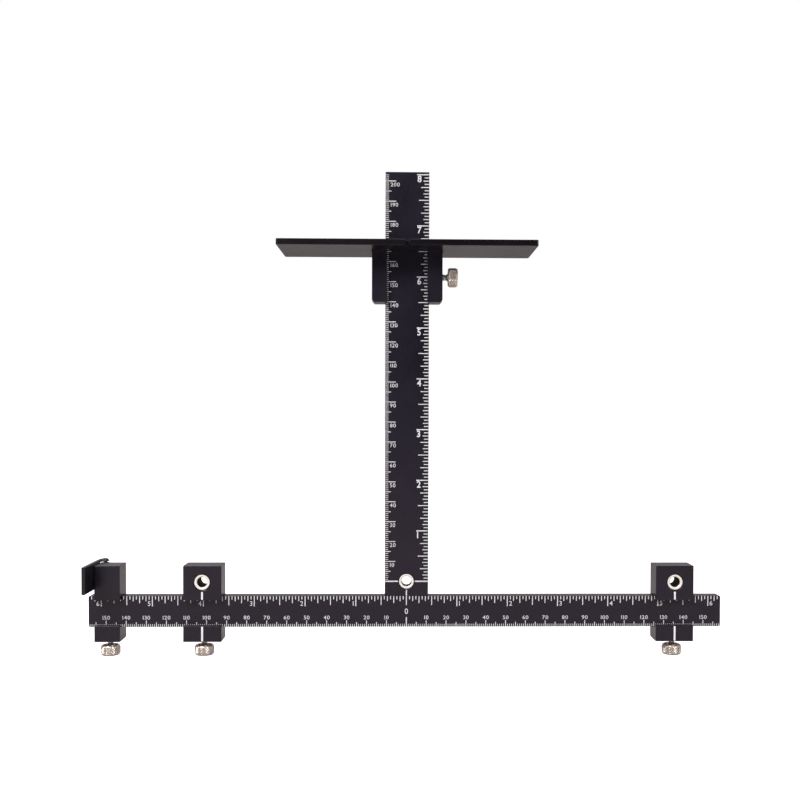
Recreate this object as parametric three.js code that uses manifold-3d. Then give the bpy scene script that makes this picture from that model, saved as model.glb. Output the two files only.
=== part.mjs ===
// Hardware-drilling T square: two scaled rulers half-lapped into an inverted T, a fence
// that slides on the upright ruler, two drill guides and a flip stop that slide on the
// cross ruler, each locked by a knurled thumb screw that presses a soft pad on the ruler.
//
// Millimetres, +Z up.  Pieces are laid out from the axis of the centre drill bushing on
// the marked face (X right, Y into the thickness, Z along the upright ruler); the whole
// assembly is then moved so its origin is the bottom centre of its bounding box.
import * as THREE from 'three';
import { mergeVertices } from 'three/addons/utils/BufferGeometryUtils.js';
import Module from 'manifold-3d';

const wasm = await Module();
wasm.setup();

// ---------------------------------------------------------------- driving dimensions
const RULER_T = 6.35;            // bar stock thickness, 1/4 in
const UPRIGHT_HALF_W = 10.9;     // upright ruler, half of its width
const UPRIGHT_TOP = 204.5;       // upright ruler end above the centre bushing axis
const CROSS_HALF_L = 158.75;     // cross ruler, half of 12 1/2 in
const CROSS_TOP = -7.35;         // cross ruler upper edge
const CROSS_BOTTOM = -22.95;     // cross ruler lower edge
const JOINT_GAP = 0.06;          // clearance left between fixed pieces
const LAP_FRONT_T = 3.2;         // what the cross ruler keeps in front of the lap
const LAP_SCREW_X = 6.2;         // lap screws each side of the centre line
const LAP_SCREW_Z = -15.2;
const EDGE = 0.35;               // broken edges of the bars and blocks

const BUSH_ID = 5.0;             // drill bushing bore
const GUIDE_BUSH_OD = 8.0;
const CENTER_BUSH_OD = 7.8;
const PRESS_GAP = 0.03;          // radial allowance that stands for the press fit

const BLOCK_FRONT = -2.8;        // front face of every sliding block
const BLOCK_BACK = 9.15;         // back face, the one that lies on the work
const SLIDE_GAP = 0.1;           // running clearance round the rulers
const GUIDE_W = 19.05;           // drill guide width along the cross ruler, 3/4 in
const GUIDE_TOP = 8.2;           // blocks are 38.1 mm tall, 1 1/2 in
const GUIDE_BOTTOM = -29.9;
const WINDOW_TOP = -9.1;         // viewing window over the cross scale
const WINDOW_BOTTOM = -21.8;
const BLOCK_BACK_CHAMFER = 1.0;
const LEFT_GUIDE_X = -101.7;     // set on the 4 in mark
const RIGHT_GUIDE_X = 134.9;     // set on the 135 mm mark

const STOP_LEFT = -155.1;        // flip stop block, 12.7 mm wide
const STOP_RIGHT = -142.4;
const HINGE_X = -154.0;          // flip stop pin axis, parallel to Z
const HINGE_Y = 13.0;
const HINGE_R = 2.0;             // hinge ear and eye radius
const PIN_R = 0.95;
const EAR_BOTTOM = -1.5;
const STOP_PLATE_T = 1.7;
const STOP_PLATE_FRONT = -16.8;
const STOP_PLATE_TOP = 9.6;
const STOP_PLATE_BOTTOM = -3.85;
const STOP_TAB_T = 1.6;          // the two tabs of the plate that straddle the ear

const FENCE_HALF_L = 63.5;       // fence plate, 127 mm (5 in) long
const FENCE_HALF_D = 20.0;       // 40 mm deep, centred on the ruler's thickness
const FENCE_BOTTOM = 165.5;
const FENCE_T = 3.0;
const FENCE_NOTCH_W = 2.1;       // sighting notch in the front edge, on the centre line
const FENCE_NOTCH_D = 3.0;
const FENCE_POCKET = 0.5;        // locating recess for the block in the plate's underside
const FENCE_BLOCK_HALF_W = 17.55;
const FENCE_BLOCK_BOTTOM = 139.6;
const FENCE_WINDOW_HALF_W = 9.9;
const FENCE_SCREW_X = 14.3;
const FENCE_THUMB_Z = 152.5;

const SCREW_Y = RULER_T / 2;     // every thumb screw is centred on the ruler edge
const THREAD_R = 1.75;           // thumb screw thread, 3.5 mm
const THREAD_BORE_R = 1.85;
const THUMB_HEAD_R = 4.9;
const THUMB_HEAD_T = 4.8;
const THUMB_LEN = 8.2;           // head face to tip
const PAD_R = 1.6;
const PAD_T = 1.2;

// ---------------------------------------------------------------------- small helpers
const AXIS = {
  x: new THREE.Matrix4().makeRotationZ(-Math.PI / 2),   // local +Y to +X
  y: new THREE.Matrix4(),
  z: new THREE.Matrix4().makeRotationX(Math.PI / 2),    // local +Y to +Z
};

function solid(geometry) {
  const g = geometry.index ? geometry.toNonIndexed() : geometry.clone();
  g.deleteAttribute('normal');
  g.deleteAttribute('uv');
  const m = mergeVertices(g, 1e-4);
  return new wasm.Manifold(new wasm.Mesh({
    numProp: 3,
    vertProperties: new Float32Array(m.attributes.position.array),
    triVerts: new Uint32Array(m.index.array),
  }));
}

function geometryOf(manifold) {
  const m = manifold.getMesh();
  const g = new THREE.BufferGeometry();
  const xyz = new Float32Array((m.vertProperties.length / m.numProp) * 3);
  for (let i = 0, j = 0; i < m.vertProperties.length; i += m.numProp, j += 3) {
    xyz[j] = m.vertProperties[i];
    xyz[j + 1] = m.vertProperties[i + 1];
    xyz[j + 2] = m.vertProperties[i + 2];
  }
  g.setAttribute('position', new THREE.BufferAttribute(xyz, 3));
  g.setIndex(new THREE.BufferAttribute(new Uint32Array(m.triVerts), 1));
  const flat = g.toNonIndexed();
  flat.computeVertexNormals();
  return flat;
}

// Prism of a closed outline.  along 'x': points are [y, z]; 'y': [z, x]; 'z': [x, y].
function prism(points, along, lo, hi, edge = 0) {
  const shape = new THREE.Shape(points.map(([u, v]) => new THREE.Vector2(u, v)));
  const g = new THREE.ExtrudeGeometry(shape, {
    depth: hi - lo - 2 * edge, steps: 1, curveSegments: 8,
    bevelEnabled: edge > 0, bevelThickness: edge, bevelSize: edge,
    bevelOffset: -edge, bevelSegments: 1,
  });
  g.translate(0, 0, lo + edge);
  const e = { x: new THREE.Vector3(1, 0, 0), y: new THREE.Vector3(0, 1, 0), z: new THREE.Vector3(0, 0, 1) };
  const basis = { x: [e.y, e.z, e.x], y: [e.z, e.x, e.y], z: [e.x, e.y, e.z] }[along];
  g.applyMatrix4(new THREE.Matrix4().makeBasis(...basis));
  return g;
}

function box(x0, x1, y0, y1, z0, z1) {
  const g = new THREE.BoxGeometry(x1 - x0, y1 - y0, z1 - z0);
  g.translate((x0 + x1) / 2, (y0 + y1) / 2, (z0 + z1) / 2);
  return g;
}

// Turned piece: profile of [radius, height] along +Y, then laid on the named axis.
function turned(profile, axis, at, segments = 32, reversed = false) {
  const g = new THREE.LatheGeometry(profile.map(([r, h]) => new THREE.Vector2(r, h)), segments);
  if (reversed) g.rotateX(Math.PI);
  g.applyMatrix4(AXIS[axis]);
  g.translate(...at);
  return g;
}

function rod(radius, lo, hi, axis, at, segments = 32) {
  return turned([[0, lo], [radius, lo], [radius, hi], [0, hi]], axis, at, segments);
}

const rect = (a0, a1, b0, b1) => [[a0, b0], [a1, b0], [a1, b1], [a0, b1]];

function rounded(a0, a1, b0, b1, r, n = 4) {
  const out = [];
  for (const [cx, cy, s] of [[a1 - r, b0 + r, -90], [a1 - r, b1 - r, 0], [a0 + r, b1 - r, 90], [a0 + r, b0 + r, 180]]) {
    for (let i = 0; i <= n; i++) {
      const t = (s + (90 * i) / n) * Math.PI / 180;
      out.push([cx + r * Math.cos(t), cy + r * Math.sin(t)]);
    }
  }
  return out;
}

// -------------------------------------------------------------------------- materials
const finish = (color, roughness, metalness) => new THREE.MeshStandardMaterial({ color, roughness, metalness });
const black = () => finish(0x232026, 0.42, 0.55);       // black anodised aluminium
const nickel = () => finish(0xb7aba0, 0.32, 1.0);       // nickel plated brass screws
const steel = () => finish(0xc9c4ba, 0.24, 1.0);        // hardened steel bushings
const darkSteel = () => finish(0x2b2a2c, 0.38, 0.9);    // black oxide fasteners
const nylon = () => finish(0xe6e1d3, 0.55, 0.0);        // clamp pads

const root = new THREE.Group();
function add(group, name, geometryOrSolid, material) {
  const geometry = geometryOrSolid.isBufferGeometry ? geometryOf(solid(geometryOrSolid)) : geometryOf(geometryOrSolid);
  const mesh = new THREE.Mesh(geometry, material);
  mesh.name = name;
  group.add(mesh);
  return mesh;
}

// ---------------------------------------------------------------------- fixed T frame
const frame = new THREE.Group();
root.add(frame);

// Countersunk screw: head flat at height 0, shank towards negative height.
const CS_HEAD_R = 2.7;
const CS_SHANK_R = 1.45;
function csProfile(len) {
  return [[0, -len], [CS_SHANK_R - 0.35, -len], [CS_SHANK_R, -len + 0.35],
    [CS_SHANK_R, -(0.2 + CS_HEAD_R - CS_SHANK_R)], [CS_HEAD_R, -0.2], [CS_HEAD_R, 0], [0, 0]];
}
function csHole(len, clearFrom) {            // clearance above clearFrom, tapped below it
  const r = CS_SHANK_R + 0.06;
  const h = CS_HEAD_R + 0.08;
  return [[0, -len - 0.5], [r, -len - 0.5], [r, clearFrom], [r + 0.12, clearFrom],
    [r + 0.12, -(0.2 + h - r - 0.12)], [h, -0.2], [h, 0.6], [0, 0.6]];
}
function csScrew(len, axis, at) {
  const body = solid(turned(csProfile(len), axis, at, 24));
  const hex = new THREE.CylinderGeometry(1.15, 1.15, 2.4, 6);
  hex.applyMatrix4(AXIS[axis]);
  hex.translate(...at);
  return body.subtract(solid(hex));
}

// Upright ruler: full thickness above the lap, back half only where it crosses.
const LAP_LEN = 5.2;
{
  const t0 = LAP_FRONT_T + JOINT_GAP;
  const outline = [[0, CROSS_TOP + JOINT_GAP], [t0, CROSS_TOP + JOINT_GAP], [t0, CROSS_BOTTOM],
    [RULER_T, CROSS_BOTTOM], [RULER_T, UPRIGHT_TOP], [0, UPRIGHT_TOP]];
  let s = solid(prism(outline, 'x', -UPRIGHT_HALF_W, UPRIGHT_HALF_W, 0.25));
  s = s.subtract(solid(rod(CENTER_BUSH_OD / 2 + PRESS_GAP, -1, RULER_T + 1, 'y', [0, 0, 0], 40)));
  for (const sx of [-1, 1]) {
    s = s.subtract(solid(turned(csHole(LAP_LEN, t0 - RULER_T - 0.2), 'y', [sx * LAP_SCREW_X, RULER_T - 0.1, LAP_SCREW_Z], 24)));
  }
  add(frame, 'upright_ruler', s, black());
}
// Cross ruler: a bar with the matching recess in its back and two blind tapped holes.
{
  let s = solid(prism(rounded(CROSS_BOTTOM, CROSS_TOP, -CROSS_HALF_L, CROSS_HALF_L, 0.8, 3), 'y', 0, RULER_T, 0.25));
  s = s.subtract(solid(box(-UPRIGHT_HALF_W - JOINT_GAP, UPRIGHT_HALF_W + JOINT_GAP, LAP_FRONT_T, RULER_T + 1, CROSS_BOTTOM - 1, CROSS_TOP + 1)));
  for (const sx of [-1, 1]) {
    s = s.subtract(solid(rod(CS_SHANK_R + 0.06, -LAP_LEN - 0.4, 1, 'y', [sx * LAP_SCREW_X, RULER_T - 0.1, LAP_SCREW_Z], 24)));
  }
  add(frame, 'cross_ruler', s, black());
}
for (const [name, sx] of [['lap_screw_left', -1], ['lap_screw_right', 1]]) {
  add(frame, name, csScrew(LAP_LEN, 'y', [sx * LAP_SCREW_X, RULER_T - 0.1, LAP_SCREW_Z]), darkSteel());
}

// Headless press-in drill bushing, bore broken at both ends.
function bushing(outerR, y0, y1, x, segments = 40) {
  const i = BUSH_ID / 2;
  return turned([[i + 0.45, y0], [outerR - 0.25, y0], [outerR, y0 + 0.25], [outerR, y1 - 0.25],
    [outerR - 0.25, y1], [i + 0.45, y1], [i, y1 - 0.45], [i, y0 + 0.45], [i + 0.45, y0]], 'y', [x, 0, 0], segments);
}
add(frame, 'center_bushing', bushing(CENTER_BUSH_OD / 2, 0, RULER_T, 0), steel());

// ------------------------------------------------------------- thumb screws and pads
// Head face at height 0, shank up to THUMB_LEN, grip down to -THUMB_HEAD_T.
const thumbProfile = [
  [0, -THUMB_HEAD_T], [THUMB_HEAD_R - 1.0, -THUMB_HEAD_T], [THUMB_HEAD_R, -THUMB_HEAD_T + 0.75],
  [THUMB_HEAD_R, -0.45], [THUMB_HEAD_R - 0.45, 0], [3.55, 0], [3.25, -0.75], [2.45, -0.75], [2.1, 0.35],
  [1.2, 1.35], [1.2, 1.95], [THREAD_R, 2.5], [THREAD_R, THUMB_LEN - 0.4], [THREAD_R - 0.4, THUMB_LEN], [0, THUMB_LEN],
];
const padProfile = [[0, 0], [PAD_R, 0], [PAD_R, PAD_T - 0.3], [PAD_R - 0.3, PAD_T], [0, PAD_T]];

const PAD_AT_CROSS = CROSS_BOTTOM - JOINT_GAP - PAD_T;       // pad foot under the cross ruler
const THUMB_AT_CROSS = PAD_AT_CROSS - JOINT_GAP - THUMB_LEN; // head face under the blocks
const PAD_AT_FENCE = UPRIGHT_HALF_W + JOINT_GAP;             // pad face beside the upright ruler
const THUMB_AT_FENCE = PAD_AT_FENCE + PAD_T + JOINT_GAP + THUMB_LEN;

function crossClamp(group, prefix, x) {
  add(group, prefix + '_clamp_pad', turned(padProfile, 'z', [x, SCREW_Y, PAD_AT_CROSS], 20), nylon());
  add(group, prefix + '_thumb_screw', turned(thumbProfile, 'z', [x, SCREW_Y, THUMB_AT_CROSS], 28), nickel());
}
// Tapped hole up through the lower bar of a block, with a lead-in at its mouth.
function crossTap(x) {
  return solid(turned([[0, GUIDE_BOTTOM - 1], [THREAD_BORE_R + 1.6, GUIDE_BOTTOM - 1], [THREAD_BORE_R, GUIDE_BOTTOM + 0.6],
    [THREAD_BORE_R, CROSS_BOTTOM + 1], [0, CROSS_BOTTOM + 1]], 'z', [x, SCREW_Y, 0], 28));
}

// C-section of a block that rides on the cross ruler, as [y, z] points.
const crossSection = [
  [BLOCK_FRONT, GUIDE_BOTTOM], [BLOCK_BACK - BLOCK_BACK_CHAMFER, GUIDE_BOTTOM], [BLOCK_BACK, GUIDE_BOTTOM + BLOCK_BACK_CHAMFER],
  [BLOCK_BACK, GUIDE_TOP], [BLOCK_FRONT, GUIDE_TOP], [BLOCK_FRONT, WINDOW_TOP], [-SLIDE_GAP, WINDOW_TOP],
  [-SLIDE_GAP, CROSS_TOP + SLIDE_GAP], [RULER_T + SLIDE_GAP, CROSS_TOP + SLIDE_GAP], [RULER_T + SLIDE_GAP, CROSS_BOTTOM - SLIDE_GAP],
  [-SLIDE_GAP, CROSS_BOTTOM - SLIDE_GAP], [-SLIDE_GAP, WINDOW_BOTTOM], [BLOCK_FRONT, WINDOW_BOTTOM],
];

for (const [prefix, x] of [['left_guide', LEFT_GUIDE_X], ['right_guide', RIGHT_GUIDE_X]]) {
  const g = new THREE.Group();
  root.add(g);
  let s = solid(prism(crossSection, 'x', x - GUIDE_W / 2, x + GUIDE_W / 2, EDGE));
  s = s.subtract(solid(rod(GUIDE_BUSH_OD / 2 + PRESS_GAP, BLOCK_FRONT - 1, BLOCK_BACK + 1, 'y', [x, 0, 0], 40)));
  s = s.subtract(crossTap(x));
  add(g, prefix + '_block', s, black());
  add(g, prefix + '_bushing', bushing(GUIDE_BUSH_OD / 2, BLOCK_FRONT, BLOCK_BACK, x), steel());
  crossClamp(g, prefix, x);
}

// -------------------------------------------------------------------------- flip stop
{
  const g = new THREE.Group();
  root.add(g);
  const x = (STOP_LEFT + STOP_RIGHT) / 2;
  let s = solid(prism(crossSection, 'x', STOP_LEFT, STOP_RIGHT, EDGE));
  s = s.subtract(crossTap(x));
  // ear behind the block: a wedge that ends in a round eye about the pin
  const ear = [[STOP_LEFT + 0.3, BLOCK_BACK - 1], [STOP_RIGHT - 6.9, BLOCK_BACK - 1], [STOP_RIGHT - 6.9, BLOCK_BACK]];
  for (let i = 0; i <= 14; i++) {
    const t = (48 + (i * (188 - 48)) / 14) * Math.PI / 180;
    ear.push([HINGE_X + HINGE_R * Math.cos(t), HINGE_Y + HINGE_R * Math.sin(t)]);
  }
  s = s.add(solid(prism(ear, 'z', EAR_BOTTOM, GUIDE_TOP)));
  s = s.subtract(solid(rod(PIN_R + PRESS_GAP, EAR_BOTTOM - 1, GUIDE_TOP + 1, 'z', [HINGE_X, HINGE_Y, 0], 20)));
  add(g, 'stop_block', s, black());
  crossClamp(g, 'stop', x);

  // plate beside the block: full height in front, two tabs with eyes behind
  const outer = STOP_LEFT - 0.1 - STOP_PLATE_T;
  const inner = STOP_LEFT - 0.1;
  const tab = [[outer, BLOCK_BACK - 1.6], [inner, BLOCK_BACK - 1.6], [inner, BLOCK_BACK + 0.4]];
  for (let i = 0; i <= 16; i++) {
    const t = (-60 + (i * (60 + 165)) / 16) * Math.PI / 180;
    tab.push([HINGE_X + HINGE_R * Math.cos(t), HINGE_Y + HINGE_R * Math.sin(t)]);
  }
  tab.push([outer, HINGE_Y - 0.9]);
  const earTop = GUIDE_TOP + 0.1;
  let p = solid(prism(rect(STOP_PLATE_BOTTOM, STOP_PLATE_TOP, outer, inner), 'y', STOP_PLATE_FRONT, BLOCK_BACK - 1.0, 0.2));
  p = p.add(solid(prism(tab, 'z', earTop, STOP_PLATE_TOP)));
  p = p.add(solid(prism(tab, 'z', STOP_PLATE_BOTTOM, EAR_BOTTOM - 0.1)));
  p = p.subtract(solid(rod(PIN_R + 0.08, STOP_PLATE_BOTTOM - 1, STOP_PLATE_TOP + 1, 'z', [HINGE_X, HINGE_Y, 0], 20)));
  add(g, 'stop_plate', p, black());
  add(g, 'stop_hinge_pin', turned([[0, STOP_PLATE_BOTTOM + 0.3], [PIN_R - 0.2, STOP_PLATE_BOTTOM + 0.3], [PIN_R, STOP_PLATE_BOTTOM + 0.5],
    [PIN_R, STOP_PLATE_TOP - 0.7], [PIN_R - 0.2, STOP_PLATE_TOP - 0.5], [0, STOP_PLATE_TOP - 0.5]], 'z', [HINGE_X, HINGE_Y, 0], 20), darkSteel());
}

// ------------------------------------------------------------------------------ fence
{
  const g = new THREE.Group();
  root.add(g);
  const top = FENCE_BOTTOM + FENCE_T;
  const slotX = UPRIGHT_HALF_W + SLIDE_GAP + 0.05;
  // block: C-section in plan, open to the front over the upright scale
  const w = FENCE_BLOCK_HALF_W;
  const plan = [[-w, BLOCK_FRONT], [-FENCE_WINDOW_HALF_W, BLOCK_FRONT], [-FENCE_WINDOW_HALF_W, -SLIDE_GAP], [-slotX, -SLIDE_GAP],
    [-slotX, RULER_T + SLIDE_GAP], [slotX, RULER_T + SLIDE_GAP], [slotX, -SLIDE_GAP], [FENCE_WINDOW_HALF_W, -SLIDE_GAP],
    [FENCE_WINDOW_HALF_W, BLOCK_FRONT], [w, BLOCK_FRONT], [w, BLOCK_BACK], [-w, BLOCK_BACK]];
  let s = solid(prism(plan, 'z', FENCE_BLOCK_BOTTOM, FENCE_BOTTOM + FENCE_POCKET - JOINT_GAP, EDGE));
  // lower outer corners taken off
  const c = 1.2;
  for (const sx of [-1, 1]) {
    const tri = sx > 0
      ? [[FENCE_BLOCK_BOTTOM - 1, w - c - 1], [FENCE_BLOCK_BOTTOM + c + 1, w + 1], [FENCE_BLOCK_BOTTOM - 1, w + 1]]
      : [[FENCE_BLOCK_BOTTOM - 1, -w - 1], [FENCE_BLOCK_BOTTOM + c + 1, -w - 1], [FENCE_BLOCK_BOTTOM - 1, -w + c + 1]];
    s = s.subtract(solid(prism(tri, 'y', BLOCK_FRONT - 1, BLOCK_BACK + 1)));
    s = s.subtract(solid(rod(CS_SHANK_R + 0.06, -9.2, 1, 'z', [sx * FENCE_SCREW_X, SCREW_Y, top - 0.1], 24)));
  }
  s = s.subtract(solid(turned([[0, UPRIGHT_HALF_W - 1], [THREAD_BORE_R, UPRIGHT_HALF_W - 1], [THREAD_BORE_R, w - 0.6], [THREAD_BORE_R + 1.6, w + 1], [0, w + 1]],
    'x', [0, SCREW_Y, FENCE_THUMB_Z], 28)));
  add(g, 'fence_block', s, black());

  // plate: closed slot round the ruler, sighting notch, locating recess, two countersunk holes
  const front = SCREW_Y - FENCE_HALF_D;
  const back = SCREW_Y + FENCE_HALF_D;
  const shape = new THREE.Shape(rounded(-FENCE_HALF_L, FENCE_HALF_L, front, back, 1.2, 3).map(([u, v]) => new THREE.Vector2(u, v)));
  const pg = new THREE.ExtrudeGeometry(shape, { depth: FENCE_T - 0.5, steps: 1, bevelEnabled: true, bevelThickness: 0.25, bevelSize: 0.25, bevelOffset: -0.25, bevelSegments: 1 });
  pg.translate(0, 0, FENCE_BOTTOM + 0.25);
  let p = solid(pg);
  p = p.subtract(solid(box(-slotX, slotX, -SLIDE_GAP, RULER_T + SLIDE_GAP, FENCE_BOTTOM - 1, top + 1)));
  p = p.subtract(solid(box(-FENCE_NOTCH_W / 2, FENCE_NOTCH_W / 2, front - 1, front + FENCE_NOTCH_D, FENCE_BOTTOM - 1, top + 1)));
  p = p.subtract(solid(box(-w - 0.15, w + 0.15, BLOCK_FRONT - 0.15, BLOCK_BACK + 0.15, FENCE_BOTTOM - 1, FENCE_BOTTOM + FENCE_POCKET)));
  for (const sx of [-1, 1]) {
    p = p.subtract(solid(turned(csHole(8.6, -FENCE_T - 1), 'z', [sx * FENCE_SCREW_X, SCREW_Y, top - 0.1], 24)));
  }
  add(g, 'fence_plate', p, black());
  for (const [name, sx] of [['fence_screw_left', -1], ['fence_screw_right', 1]]) {
    add(g, name, csScrew(8.6, 'z', [sx * FENCE_SCREW_X, SCREW_Y, top - 0.1]), darkSteel());
  }
  add(g, 'fence_clamp_pad', turned(padProfile, 'x', [PAD_AT_FENCE + PAD_T, SCREW_Y, FENCE_THUMB_Z], 20, true), nylon());
  add(g, 'fence_thumb_screw', turned(thumbProfile, 'x', [THUMB_AT_FENCE, SCREW_Y, FENCE_THUMB_Z], 28, true), nickel());
}

// origin at the bottom centre of the bounding box
root.position.set(0, -SCREW_Y, -(THUMB_AT_CROSS - THUMB_HEAD_T));
root.updateMatrixWorld(true);

export default root;
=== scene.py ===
import math

import bmesh
import bpy
from mathutils import Matrix, Vector


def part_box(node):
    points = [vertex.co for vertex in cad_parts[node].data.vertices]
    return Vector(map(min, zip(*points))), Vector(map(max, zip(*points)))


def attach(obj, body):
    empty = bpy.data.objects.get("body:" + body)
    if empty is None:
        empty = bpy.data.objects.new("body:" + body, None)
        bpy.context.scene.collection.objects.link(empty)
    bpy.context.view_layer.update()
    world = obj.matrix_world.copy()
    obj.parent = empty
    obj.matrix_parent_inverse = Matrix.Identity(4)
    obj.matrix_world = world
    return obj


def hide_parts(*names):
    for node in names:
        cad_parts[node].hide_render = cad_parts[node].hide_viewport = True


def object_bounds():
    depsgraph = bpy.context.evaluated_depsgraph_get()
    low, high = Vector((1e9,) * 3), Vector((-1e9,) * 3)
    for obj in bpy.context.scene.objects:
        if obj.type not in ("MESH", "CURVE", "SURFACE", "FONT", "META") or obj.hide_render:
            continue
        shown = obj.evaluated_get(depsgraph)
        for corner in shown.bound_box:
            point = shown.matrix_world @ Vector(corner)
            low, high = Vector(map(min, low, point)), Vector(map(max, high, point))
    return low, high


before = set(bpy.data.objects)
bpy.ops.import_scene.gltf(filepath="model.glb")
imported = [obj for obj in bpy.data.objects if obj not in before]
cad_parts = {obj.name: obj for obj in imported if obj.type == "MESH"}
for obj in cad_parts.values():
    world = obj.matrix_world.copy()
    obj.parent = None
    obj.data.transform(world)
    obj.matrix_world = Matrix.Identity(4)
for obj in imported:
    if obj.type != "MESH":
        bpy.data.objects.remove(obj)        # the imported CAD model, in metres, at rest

CAD_LO, CAD_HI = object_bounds()

# ------------------------------------------------------------------ layout coordinates
# Pieces are built in millimetres from the centre bushing's axis on the marked face
# (X right, Y into the thickness, Z up the upright ruler) and then moved into the frame.
MM = 0.001
_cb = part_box("center_bushing")
_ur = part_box("upright_ruler")
OX = (_cb[0].x + _cb[1].x) / 2
OZ = (_cb[0].z + _cb[1].z) / 2
OY = _ur[0].y
TO_ROW = Matrix.Translation((OX, OY, OZ)) @ Matrix.Scale(MM, 4)


def nb(node):
    """A CAD node's box in layout millimetres: x0, x1, y0, y1, z0, z1."""
    lo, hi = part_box(node)
    return [(lo.x - OX) / MM, (hi.x - OX) / MM, (lo.y - OY) / MM, (hi.y - OY) / MM,
            (lo.z - OZ) / MM, (hi.z - OZ) / MM]


UR = nb("upright_ruler")
CR = nb("cross_ruler")
T = UR[3] - UR[2]                    # ruler thickness
HALF_W = (UR[1] - UR[0]) / 2
UP_TOP = UR[5]
CROSS_TOP, CROSS_BOT, HALF_L = CR[5], CR[4], (CR[1] - CR[0]) / 2
LG, RG, SB = nb("left_guide_block"), nb("right_guide_block"), nb("stop_block")
FB, FP, SP = nb("fence_block"), nb("fence_plate"), nb("stop_plate")
FRONT, BACK = LG[2], LG[3]
G_TOP, G_BOT = LG[5], LG[4]
WIN_TOP, WIN_BOT = -9.1, -21.8
LAP = 3.2
GAP = 0.06
SLIDE = 0.1
SCREW_Y = T / 2
LAP_X, LAP_Z = 6.2, -15.2
FENCE_X = 14.3
PIN = nb("stop_hinge_pin")
HX, HY = (PIN[0] + PIN[1]) / 2, (PIN[2] + PIN[3]) / 2

scene = bpy.context.scene
STORE = scene.collection


# -------------------------------------------------------------------------- mesh tools
def obj_from_bm(name, bm):
    bmesh.ops.recalc_face_normals(bm, faces=bm.faces[:])
    me = bpy.data.meshes.new(name)
    bm.to_mesh(me)
    bm.free()
    ob = bpy.data.objects.new(name, me)
    STORE.objects.link(ob)
    return ob


def prism_bm(points, along, lo, hi):
    """Outline extruded along an axis.  'x': [y, z]; 'y': [z, x]; 'z': [x, y]."""
    def at(p, h):
        return {"x": (h, p[0], p[1]), "y": (p[1], h, p[0]), "z": (p[0], p[1], h)}[along]
    bm = bmesh.new()
    a = [bm.verts.new(at(p, lo)) for p in points]
    b = [bm.verts.new(at(p, hi)) for p in points]
    bm.faces.new(list(reversed(a)))
    bm.faces.new(b)
    n = len(points)
    for i in range(n):
        j = (i + 1) % n
        bm.faces.new((a[i], a[j], b[j], b[i]))
    return bm


def loft(low, high, z0, z1):
    """Solid between two outlines of as many points, one at each height."""
    bm = bmesh.new()
    a = [bm.verts.new((x, y, z0)) for x, y in low]
    b = [bm.verts.new((x, y, z1)) for x, y in high]
    bm.faces.new(list(reversed(a)))
    bm.faces.new(b)
    for i in range(len(a)):
        j = (i + 1) % len(a)
        bm.faces.new((a[i], a[j], b[j], b[i]))
    bmesh.ops.triangulate(bm, faces=bm.faces[:])
    return obj_from_bm("tmp", bm)


def prism(points, along, lo, hi, name="tmp"):
    return obj_from_bm(name, prism_bm(points, along, lo, hi))


def box(x0, x1, y0, y1, z0, z1, name="tmp"):
    return prism([(x0, y0), (x1, y0), (x1, y1), (x0, y1)], "z", z0, z1, name)


AXES = {"x": Matrix.Rotation(-math.pi / 2, 4, "Z"), "y": Matrix.Identity(4),
        "z": Matrix.Rotation(math.pi / 2, 4, "X")}


def lathe_bm(profile, axis, at, segs=96, flip=False):
    """Profile of (radius, height) turned about the axis through `at`."""
    bm = bmesh.new()
    m = Matrix.Translation(at) @ AXES[axis] @ (Matrix.Rotation(math.pi, 4, "X") if flip else Matrix.Identity(4))
    closed = profile[0] == profile[-1] and profile[0][0] > 0
    pts = profile[:-1] if closed else profile
    rings = []
    for r, h in pts:
        if r < 1e-9:
            rings.append([bm.verts.new(m @ Vector((0, h, 0)))])
        else:
            rings.append([bm.verts.new(m @ Vector((r * math.sin(2 * math.pi * k / segs), h, r * math.cos(2 * math.pi * k / segs))))
                          for k in range(segs)])
    pairs = list(zip(rings, rings[1:])) + ([(rings[-1], rings[0])] if closed else [])
    for a, b in pairs:
        for k in range(segs):
            j = (k + 1) % segs
            if len(a) == 1:
                bm.faces.new((a[0], b[j], b[k]))
            elif len(b) == 1:
                bm.faces.new((a[k], a[j], b[0]))
            else:
                bm.faces.new((a[k], a[j], b[j], b[k]))
    return bm


def lathe(profile, axis, at, segs=96, flip=False, name="tmp"):
    return obj_from_bm(name, lathe_bm(profile, axis, at, segs, flip))


def rod(r, lo, hi, axis, at, segs=96, name="tmp"):
    return lathe([(0, lo), (r, lo), (r, hi), (0, hi)], axis, at, segs, False, name)


def soften(profile, radius, steps=3, keep=()):
    """Rounds the corners of an open lathe profile."""
    out = [profile[0]]
    for i in range(1, len(profile) - 1):
        p0, p1, p2 = (Vector(profile[k]) for k in (i - 1, i, i + 1))
        if i in keep:
            out.append(tuple(p1))
            continue
        d0, d1 = (p0 - p1), (p2 - p1)
        r = min(radius, d0.length * 0.45, d1.length * 0.45)
        if r < 1e-4 or abs(d0.normalized().dot(d1.normalized()) + 1) < 1e-3:
            out.append(tuple(p1))
            continue
        a, b = p1 + d0.normalized() * r, p1 + d1.normalized() * r
        for s in range(steps + 1):
            t = s / steps
            q = a * (1 - t) ** 2 + p1 * 2 * t * (1 - t) + b * t * t
            out.append((q.x, q.y))
    out.append(profile[-1])
    return out


def rounded(a0, a1, b0, b1, r, n=6):
    out = []
    for cx, cy, s in ((a1 - r, b0 + r, -90), (a1 - r, b1 - r, 0), (a0 + r, b1 - r, 90), (a0 + r, b0 + r, 180)):
        for i in range(n + 1):
            t = math.radians(s + 90 * i / n)
            out.append((cx + r * math.cos(t), cy + r * math.sin(t)))
    return out


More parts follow.
